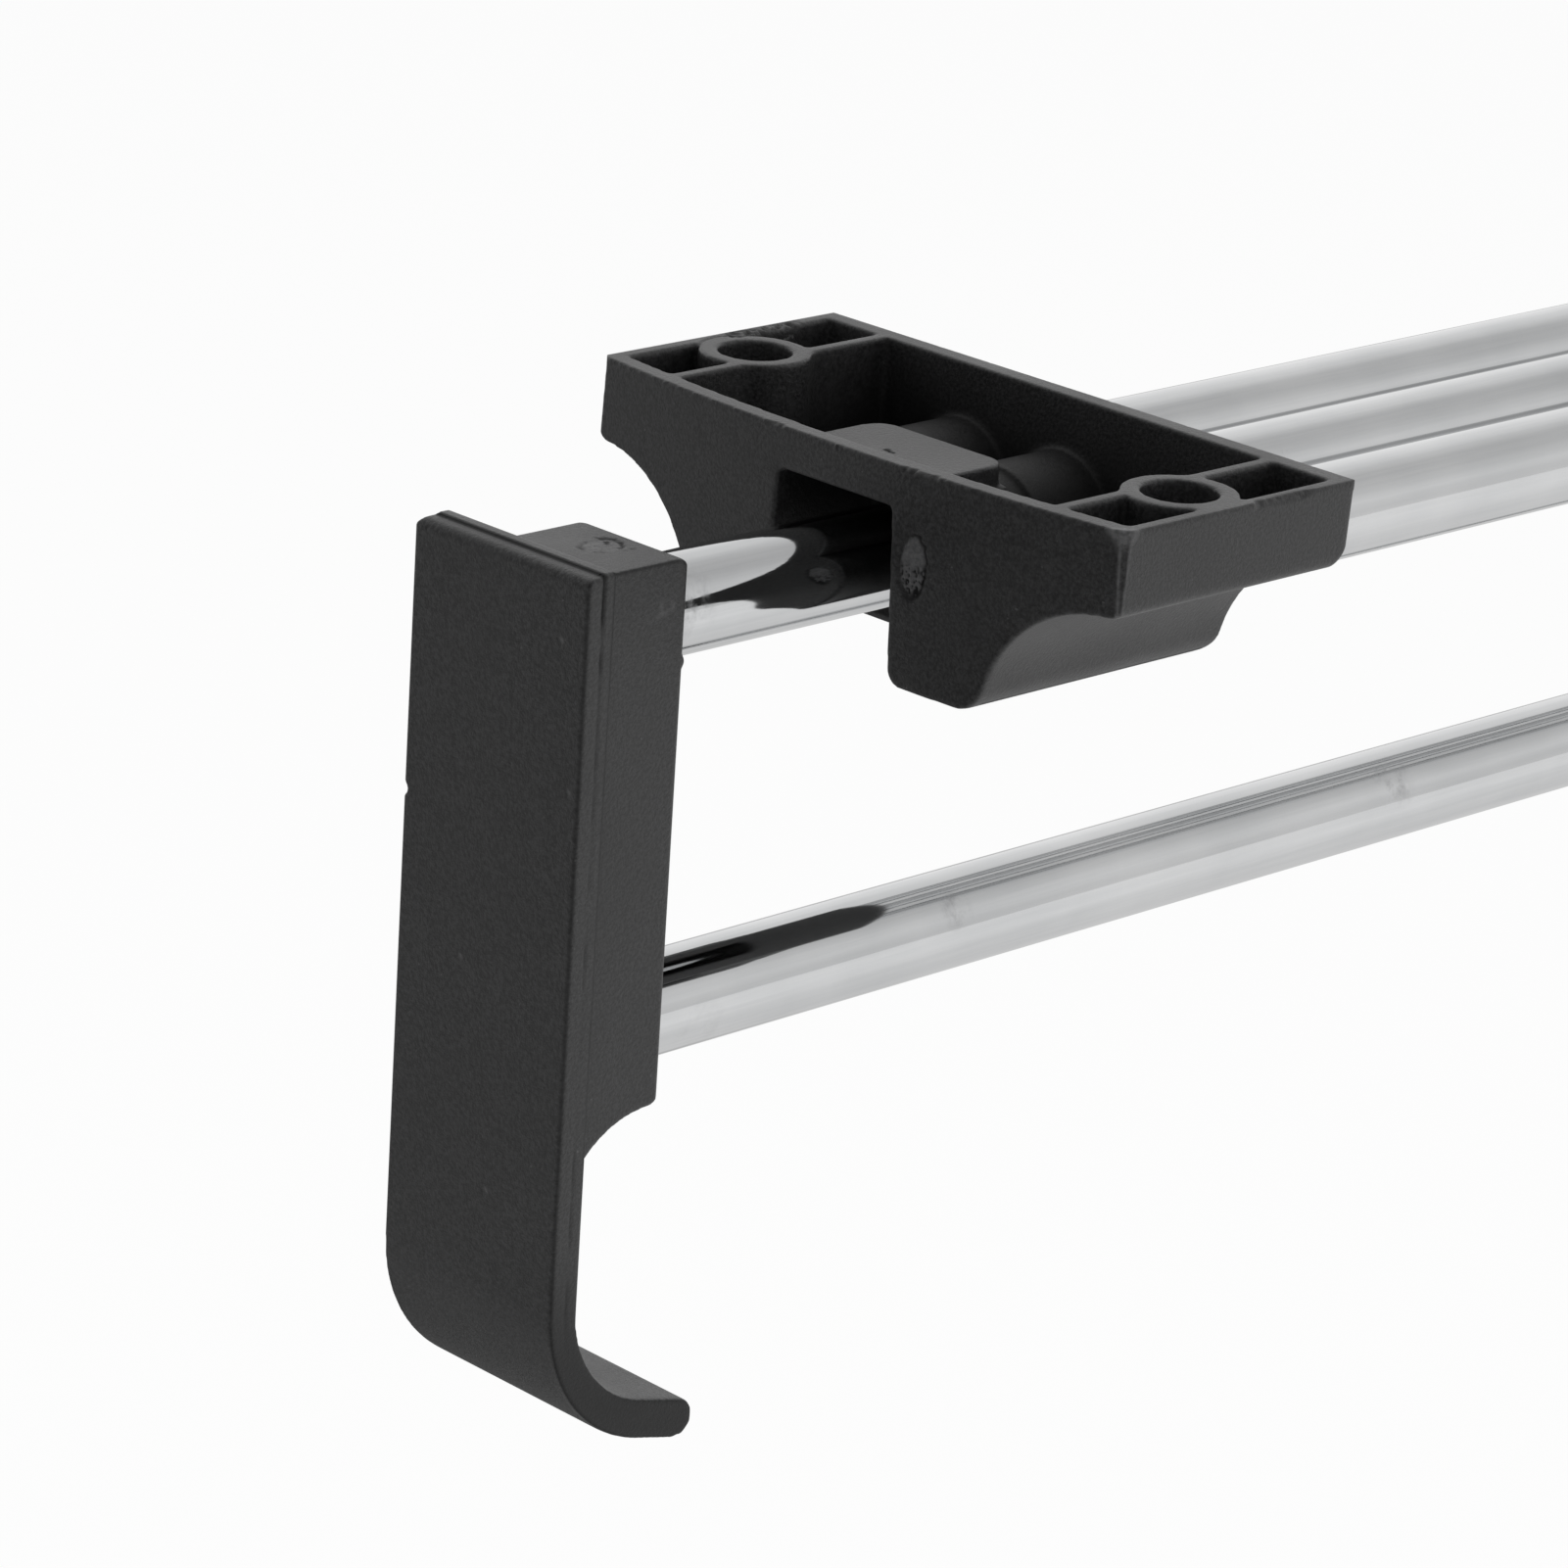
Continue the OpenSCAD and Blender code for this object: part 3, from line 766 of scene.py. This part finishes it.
def plate_depth(co):
    """Depth below the plate's and hook's outer face, the way inwards, and depth left behind."""
    outer = co - np.array((0, PLATE_FRONT + HOOK_OUT, HOOK_Z))
    inner = co - np.array((0, PLATE_BACK + HOOK_IN, HOOK_Z))
    plate = co[:, 2] >= HOOK_Z
    lip = ~plate & (outer @ LIPWARD > 0)
    r = np.maximum(np.hypot(outer[:, 1], outer[:, 2]), 1e-6)
    hook_depth = HOOK_OUT - np.where(lip, outer @ OUTWARD, r)
    depth = np.where(plate, co[:, 1] - PLATE_FRONT, hook_depth)
    turned = np.hypot(inner[:, 1], inner[:, 2])
    hook_left = np.where(inner @ LIPWARD > 0, inner @ OUTWARD, turned) - HOOK_IN
    left = np.where(plate, PLATE_BACK - co[:, 1], hook_left)
    inward = np.where(lip[:, None], -OUTWARD, -outer / r[:, None])
    inward = np.where(plate[:, None], np.array((0, 1.0, 0)), inward)
    inward[:, 0] = 0
    return depth, inward, left


def round_sides(co, depth, inward, r):
    """Rounds the plate's long edges where the given depth is nothing."""
    u = np.abs(co[:, 0]) - (PLATE_X - r)
    v = r - depth
    d = np.hypot(u, v)
    k = ((u > 0) & (v > 0) & (d > r)) * (1 - r / np.maximum(d, TINY))
    out = co + (v * k)[:, None] * inward
    out[:, 0] -= np.sign(co[:, 0]) * u * k
    return out


def plate_edges(co, marks):
    """The long front edges are rounded and drawn dark, and the rear ones only broken."""
    depth, inward, left = plate_depth(co)
    plate = left > -0.3
    co = round_sides(co, np.where(plate, depth, FAR), inward, FRONT_ROUND)
    depth, inward, left = plate_depth(co)
    co = round_sides(co, np.where(plate, left, FAR), -inward, REAR_ROUND)
    corner = np.hypot(PLATE_X - np.abs(co[:, 0]) - 0.14, depth - 0.14)
    add_mark(marks, "line", 0.4 * plate * fade(corner, 0.17))
    return co, plate, depth, left


def plate_parting(co, marks, plate, depth, left):
    """The halves of the mould meet in a step at the plate's top and a groove down its sides."""
    x, _, z = co.T
    front_half = ease(-depth, -PARTING - 0.12, -PARTING + 0.1)
    co[:, 2] -= plate * PARTING_STEP * front_half * ease(z, -4.9, -3.4)
    add_mark(marks, "line", plate * fade(depth - PARTING + 0.05, 0.17) * ease(z, -3.9, -3.5))
    # The plate's rear side edges are drawn dark with painted shade, where they stand against the
    # block
    rear = ease(-left, -0.45, -0.2) * (np.abs(x) > PLATE_X - 0.5) * ease(z, -68.0, -61.0)
    add_mark(marks, "line", 0.6 * plate * rear)
    # The groove is uneven, deepest near the top and broken here and there below
    side = plate & (np.abs(x) > PLATE_X - 0.7)
    wave = rough(co, side, 1.6) + 0.5 * rough(co, side, 0.5, 2.0)
    strong = (0.35 + 0.65 * ease(z, -16.0, -8.0)) * ease(z, -82.0, -72.0)
    broken = np.clip(0.55 + 1.1 * rough(co, side, 2.6, 5.0), 0, 1)
    broken = np.maximum(broken, ease(z, -9.0, -7.0))
    groove = side * fade(depth - PARTING - 0.06 * wave, 0.17) * strong * broken
    co[:, 0] -= np.sign(x) * GROOVE_DEPTH * groove
    add_mark(marks, "line", 0.9 * groove)
    # Both sides of the hook are darkened with painted shade, and are duller
    marks["deep"] = plate * (np.abs(x) > PLATE_X - 0.15) * ease(-z, 66.0, 82.0) * 0.7


def plate_corners(co, plate):
    """The plate's top corners are cut off, the left one more."""
    for way, leg in TOP_CORNERS:
        near = (way * co[:, 0] > 9) & (co[:, 2] > -6) & plate
        co = cut(co, (way, 0, 1), (PLATE_X + PLATE_TOP - leg) / math.sqrt(2), near)
    return co


def block_edges(co, marks, block):
    """The block's rear edges are rounded and its upper long ones drawn dark."""
    for way in (-1, 1):
        side, back = side_of(co, 0, way, way * BLOCK_X), side_of(co, 1, 1, BLOCK_BACK)
        co = round_between(co, side, back, BLOCK_ROUND, block)
        long_edge = np.hypot(way * co[:, 0] - BLOCK_X, co[:, 2] - BLOCK_TOP + 0.1)
        add_mark(marks, "line", 0.6 * block * fade(long_edge, 0.16))
    return co


def hook_tip(co):
    """The hook's tip is cut off flat below, with small nicks in the corner."""
    tip = np.array((0, PLATE_BACK + HOOK_IN, HOOK_Z))
    tip = tip + (HOOK_IN + LIP_T / 2) * OUTWARD + LIP_L * LIPWARD
    rel = co - tip
    near = (rel @ LIPWARD > -0.6) & (rel @ OUTWARD > -0.4) & (np.abs(rel @ OUTWARD) < 3)
    normal = (LIPWARD + 0.6 * OUTWARD) / np.linalg.norm(LIPWARD + 0.6 * OUTWARD)
    co = cut(co, normal, tip @ normal + TIP_BEYOND, near)
    corner = tip + 0.6 * LIPWARD + 1.8 * OUTWARD
    for x in TIP_NICKS:
        co = dent(co, corner + np.array((x, 0, 0)), 0.5, -0.18 * OUTWARD)
    return co


def knocked(co, marks):
    """A nick in the plate's left edge, flash on the block, and small knocks and rubbed places."""
    co = dent(co, (-PLATE_X, PLATE_FRONT + 0.2, -29.9), (0.7, 0.8, 0.8), (0.5, 0.3, 0))
    co = dent(co, (BLOCK_X - 0.3, BLOCK_BACK, -15.4), (0.5, 0.5, 0.9), (0.1, 0.25, 0))
    for (x0, z0), size in KNOCKS:
        co = dent(co, (x0, PLATE_FRONT, z0), size, (0, 0.12, 0))
        x, y, z = co.T
        away = np.hypot(x - x0, z - z0) / size
        add_mark(marks, "scar", (y < PLATE_FRONT + 0.5) * np.clip(0.9 - away, 0, 0.5))
    # The block's side is rubbed beside the slide rod
    x, y, z = co.T
    near = (x > BLOCK_X - 0.5) & (y > -48) & (z > -15) & (z < -7)
    rub = rough(co, near, 0.9, 7.0) * near
    reach = np.hypot((y + 45.2) / 2.0, (z + 9.8) / 1.6)
    add_mark(marks, "scar", 0.5 * near * np.clip(1.2 - reach, 0, 1) * np.clip(2.5 * rub, 0, 1))
    return co


def block_top(co, marks, block):
    """A dusting of light specks and a few dark blotches on the block's top."""
    x, y, z = co.T
    near = block & (z > BLOCK_TOP - 0.2)
    dust = np.clip(3.0 * rough(co, near, 0.32, 14.0) - 0.9, 0, 1)
    dust = dust * np.clip(0.4 + rough(co, near, 2.2, 15.0), 0, 1)
    add_mark(marks, "scar", 0.3 * near * dust)
    near = (np.hypot(x, y + 46.0) < 3.4) & (z > BLOCK_TOP - 0.5)
    blot = 3.0 * rough(co, near, 0.75, 12.0) + 1.2 * rough(co, near, 0.3, 13.0) - 0.2
    reach = np.hypot(x / 3.1, (y + 45.4) / 1.6)
    blot = np.clip(blot, 0, 1) * (near * ease(-reach, -1.0, -0.5))
    add_mark(marks, "line", 0.8 * blot)
    co[:, 2] -= 0.06 * blot


def handle_detail(co, marks):
    """The handle's edges, parting line and knocks, and a faint runner's scar on the block."""
    co, plate, depth, left = plate_edges(co, marks)
    plate_parting(co, marks, plate, depth, left)
    co = plate_corners(co, plate)
    x, y, z = co.T
    block = (np.abs(x) < BLOCK_X + 0.3) & (y > PLATE_BACK + 0.5) & (z > BLOCK_FOOT - 1.25)
    co = block_edges(co, marks, block)
    co = hook_tip(co)
    co = knocked(co, marks)
    block_top(co, marks, block)
    return gate_mark(
        co, marks, (-0.1, -46.8, BLOCK_TOP),
        across=(1 / 1.75, 0.1, 0), along=(-0.1, 1 / 2.3, 0), inward=(0, 0, -1), faint=1.0,
    )


# ---------------------------------------------------------------- other pieces, sizes in mm

REAR_FRONT, REAR_SCREW_Y, REAR_BACK = 303.0, 318.0, 333.0
SLIDER_FRONT, SLIDER_BACK = 241.85, 263.85
GUIDE_X, ROD_Z, RAIL_Z = 14.0, -12.4, -52.75
SINK = 3.2
# The end screws: place of the axis across X and Z, and seat of the head
SCREWS = [(x, ROD_Z, REAR_BACK - SINK) for x in (-GUIDE_X, GUIDE_X)]
SCREWS += [(0.0, z, SLIDER_BACK - SINK) for z in (ROD_Z, RAIL_Z)]
HEAD_R, HEAD_H = 4.5, 3.0
DOME_FALL, DOME_POWER = 0.34, 2.2
TUBE_R, TUBE_WALL, TUBE_EDGE = 5.0, 1.2, 0.4
TUBE_RINGS = 60


def rear_detail(co, marks):
    """The rear bracket's rim is a little uneven and its back carries the runner's scar."""
    # The pocket's inside is darkened with painted shade
    marks["deep"] = painted_shade_inside(co, REAR_FRONT, REAR_BACK)
    x, y, z = co.T
    near = (z > -RIM_DEPTH) & (rim_distance(x, y, REAR_FRONT, REAR_BACK) < RIM)
    uneven = 0.08 + 0.1 * rough(co, near, 1.5, 21.0) + 0.06 * rough(co, near, 0.5, 22.0)
    faces = ((0, 1, HALF_W), (0, -1, HALF_W), (1, 1, REAR_BACK), (1, -1, -REAR_FRONT))
    co = break_edges(co, faces, uneven, near)
    return gate_mark(
        co, marks, (0.0, REAR_BACK, -17.0),
        across=(1 / 2.6, 0, 0), along=(0, 0, 1 / 1.6), inward=(0, -1, 0), ragged=0.6,
    )


def slider_detail(co, marks):
    """A parting line round the slider's middle and a runner's scar on its back."""
    x, y, z = co.T
    bores = [np.hypot(np.abs(x) - GUIDE_X, z - ROD_Z)]
    bores += [np.hypot(x, z - height) for height in (ROD_Z, RAIL_Z)]
    middle = (SLIDER_FRONT + SLIDER_BACK) / 2 + 2.0
    skin = (np.minimum.reduce(bores) > 6.0) & (np.abs(y - middle) < 1.0)
    wave = rough(co, skin, 3.0, 5.0)
    add_mark(marks, "line", 0.7 * skin * fade(y - middle - 0.08 * wave, 0.16))
    return gate_mark(
        co, marks, (0.0, SLIDER_BACK, -34.0),
        across=(1 / 1.6, 0, 0), along=(0, 0, 1 / 2.4), inward=(0, -1, 0), ragged=0.6,
    )


def screw_detail(co, _):
    """The screws' heads are domed, and have no marks."""
    x, y, z = co.T
    out = co.copy()
    for x0, z0, seat in SCREWS:
        r = np.hypot(x - x0, z - z0)
        head = (r < HEAD_R + 0.7) & (y > seat - 0.3) & (y < seat + HEAD_H + 0.4)
        rise = head * np.clip(y - seat, 0, HEAD_H)
        out[:, 1] -= rise * DOME_FALL * np.clip(r / HEAD_R, 0, 1) ** DOME_POWER
    return out


def tube_profile(y0, y1):
    """A tube's section with rounded ends. Its many rings keep the mirror images straight."""
    r, edge, bevel = TUBE_R, TUBE_EDGE, TUBE_EDGE * 0.3
    end = [(r - TUBE_WALL, 0), (r - edge, 0), (r - bevel, bevel), (r, edge), (r, 2 * edge)]
    first, length = y0 + 2 * edge, y1 - y0 - 4 * edge
    profile = [(radius, y0 + step) for radius, step in end]
    profile += [(r, first + length * i / TUBE_RINGS) for i in range(1, TUBE_RINGS)]
    profile += [(radius, y1 - step) for radius, step in reversed(end)]
    return profile


def finish_piece(obj, material, slot, body, *nodes):
    obj.data.materials.append(material)
    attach(obj, body)
    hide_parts(*nodes)


# ---------------------------------------------------------------- the pieces

# Voxel sizes in mm
FINE = 0.2
PLAIN = 0.26
SMALL = 0.12

# The node, the piece, its body, voxel size, share of faces kept, fillets, wear and detail
for node, name, body, voxel, keep, extras, soft, detail in (
    ("front_bracket", "front_bracket_moulding", "guide_frame", FINE, 0.5,
     boss_fillets(0.0), bracket_soft, bracket_detail),
    ("handle", "handle_moulding", "pull_out_frame", FINE, 0.6, (), None, handle_detail),
    ("rear_bracket", "rear_bracket_moulding", "guide_frame", PLAIN, 0.4,
     boss_fillets(REAR_SCREW_Y), None, rear_detail),
    ("rear_slider", "slider_moulding", "pull_out_frame", PLAIN, 0.4, (), None, slider_detail),
):
    piece = moulded(node, name, voxel, keep, extras, soft, detail)
    finish_piece(piece, PLASTIC, "moulded_plastic", body, node)

for node, name, body in (
    ("guide_tube_screws", "guide_tube_end_screws", "guide_frame"),
    ("rail_screws", "rail_end_screws", "pull_out_frame"),
):
    piece = moulded(node, name, SMALL, 0.5, (), None, screw_detail)
    finish_piece(piece, ZINC, "zinc_steel", body, node)

for node, name, body in (
    ("guide_tube_left", "left_guide_tube", "guide_frame"),
    ("guide_tube_right", "right_guide_tube", "guide_frame"),
    ("slide_rod", "slide_rod_tube", "pull_out_frame"),
    ("hanging_rail", "hanging_rail_tube", "pull_out_frame"),
):
    low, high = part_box(node)
    x = (low.x + high.x) / 2 / MM
    z = (low.z + high.z) / 2 / MM
    piece = lathe(name, tube_profile(low.y / MM, high.y / MM), x, z)
    finish_piece(piece, CHROME, "chromed_tube", body, node)

# The inserts are the CAD nodes themselves
for node in ("guide_tube_inserts", "rail_inserts"):
    obj = NODES[node]
    obj.data.materials.clear()
    obj.data.materials.append(ZINC)


# ---------------------------------------------------------------- studio

# Glossy rays find a bright sweep behind the object that darkens towards the photographer's side
AWAY = Vector((-0.26, 0.97, 0.0))
# The sweep's brightness at heights from level to straight up
SWEEP_LEVELS = ((0.0, 0.77), (0.3, 0.76), (0.6, 0.65), (0.72, 0.6), (1.0, 0.72))
SOFT_LIGHT = 0.5
FLOOR_Z, FLOOR_HALF, FLOOR_CELLS = -0.45, 8.0, 8
FLOOR_COLOUR = (0.86, 0.86, 0.86, 1)
FLOOR_GLOW = 0.94
# How much of the floor's glow is left in the patch of painted shade
PAINTED_SHADE_LEVEL = 0.1
LAMP_TARGET = (0, 0.1, 0)
# Square lamps: place and size in m, and power
LAMPS = (
    ("top_softbox", (-0.3, 0.5, 1.3), 1.2, 6.5),
    ("side_softbox", (1.4, 0.7, 0.5), 0.9, 3.7),
    ("left_softbox", (-1.3, -0.8, 0.5), 0.9, 4.0),
)


def seen_rays(tree):
    """1 for rays from the camera, and 1 also for those from a reflection or through glass."""
    path = add_node(tree, "ShaderNodeLightPath")
    camera_ray = path.outputs["Is Camera Ray"]
    seen = camera_ray
    for name in ("Is Glossy Ray", "Is Transmission Ray"):
        seen = math_node(tree, "ADD", seen, path.outputs[name], clamp=True)
    return camera_ray, seen


def sweep_run(tree, place, low, high, start, end):
    """A smooth run of brightness away from the photographer's side."""
    along = add_node(tree, "ShaderNodeVectorMath", operation="DOT_PRODUCT")
    tree.links.new(place, along.inputs[0])
    along.inputs[1].default_value = AWAY
    return remap(tree, along.outputs["Value"], low, high, start, end, "SMOOTHSTEP")


def parts_of(tree, place):
    parts = add_node(tree, "ShaderNodeSeparateXYZ")
    tree.links.new(place, parts.inputs[0])
    return parts.outputs["X"], parts.outputs["Y"], parts.outputs["Z"]


def mix_shaders(tree, share, first, second, out):
    mixed = add_node(tree, "ShaderNodeMixShader")
    for source, socket in zip((share, first.outputs[0], second.outputs[0]), mixed.inputs):
        tree.links.new(source, socket)
    tree.links.new(mixed.outputs[0], out.inputs["Surface"])


def add_world():
    """White to the camera, the sweep to reflections, and an even soft light to all else."""
    world = bpy.data.worlds.new("studio")
    bpy.context.scene.world = world
    world.use_nodes = True
    tree = world.node_tree
    tree.nodes.clear()
    out = add_node(tree, "ShaderNodeOutputWorld")
    camera_ray, seen = seen_rays(tree)
    direction = add_node(tree, "ShaderNodeTexCoord").outputs["Generated"]
    x, _, z = parts_of(tree, direction)
    height = ramp(tree, z, *((place, grey(level)) for place, level in SWEEP_LEVELS))
    # The sweep is brighter on the left, and a little on the right at middle heights
    left = remap(tree, x, 0.0, -0.45, 0.0, 0.21, "SMOOTHSTEP")
    right = product(
        tree,
        remap(tree, x, 0.3, 0.55, 0.0, 0.085),
        remap(tree, z, 0.1, 0.3),
        remap(tree, z, 0.75, 0.6),
    )
    level = math_node(tree, "ADD", height, math_node(tree, "ADD", left, right))
    level = product(tree, level, sweep_run(tree, direction, -0.8, 0.5, 0.15, 1.0))
    level = math_node(tree, "MAXIMUM", level, camera_ray)
    sweep = add_node(tree, "ShaderNodeBackground", in_Color=WHITE)
    tree.links.new(level, sweep.inputs["Strength"])
    soft = add_node(tree, "ShaderNodeBackground", in_Color=WHITE, in_Strength=SOFT_LIGHT)
    mix_shaders(tree, seen, soft, sweep, out)


def add_floor():
    """White to the camera but for the shadow, and the sweep's lower end to reflections."""
    bm = bmesh.new()
    bmesh.ops.create_grid(bm, x_segments=FLOOR_CELLS, y_segments=FLOOR_CELLS, size=FLOOR_HALF)
    mesh = bpy.data.meshes.new("floor")
    bm.to_mesh(mesh)
    bm.free()
    obj = new_object("floor", mesh)
    obj.location.z = FLOOR_Z
    mat, tree = new_material("pale_floor")
    out = add_node(tree, "ShaderNodeOutputMaterial")
    matt = add_node(tree, "ShaderNodeBsdfDiffuse", in_Color=FLOOR_COLOUR)
    camera_ray, seen = seen_rays(tree)
    place = add_node(tree, "ShaderNodeTexCoord").outputs["Object"]
    x, y, _ = parts_of(tree, place)
    # A patch of painted shade on the floor to the left dims its glow to reflections, for the
    # undersides of the tubes to mirror
    painted_shade_patch = product(
        tree, remap(tree, x, -0.2, -0.32), remap(tree, y, -0.4, -0.05), remap(tree, y, 0.45, 0.3)
    )
    level = product(
        tree,
        sweep_run(tree, place, -1.1, 0.0, 0.37, 1.06),
        remap(tree, x, -0.6, 0.7, 0.58, 0.95),
        remap(tree, painted_shade_patch, 0.0, 1.0, 1.0, PAINTED_SHADE_LEVEL),
    )
    level = math_node(tree, "MAXIMUM", level, camera_ray)
    glow = add_node(tree, "ShaderNodeEmission", in_Color=WHITE)
    tree.links.new(level, glow.inputs["Strength"])
    mix_shaders(tree, product(tree, seen, FLOOR_GLOW), matt, glow, out)
    mesh.materials.append(mat)


def add_lamp(name, place, size, power):
    """A soft lamp that aims at the object and isn't mirrored in it."""
    data = bpy.data.lights.new(name, "AREA")
    data.shape = "RECTANGLE"
    data.size = data.size_y = size
    data.energy = power
    obj = bpy.data.objects.new(name, data)
    bpy.context.scene.collection.objects.link(obj)
    obj.location = place
    aim = Vector(LAMP_TARGET) - Vector(place)
    obj.rotation_euler = aim.to_track_quat("-Z", "Y").to_euler()
    obj.visible_glossy = False


add_world()
add_floor()
for lamp in LAMPS:
    add_lamp(*lamp)

bpy.context.scene.view_settings.view_transform = "Standard"
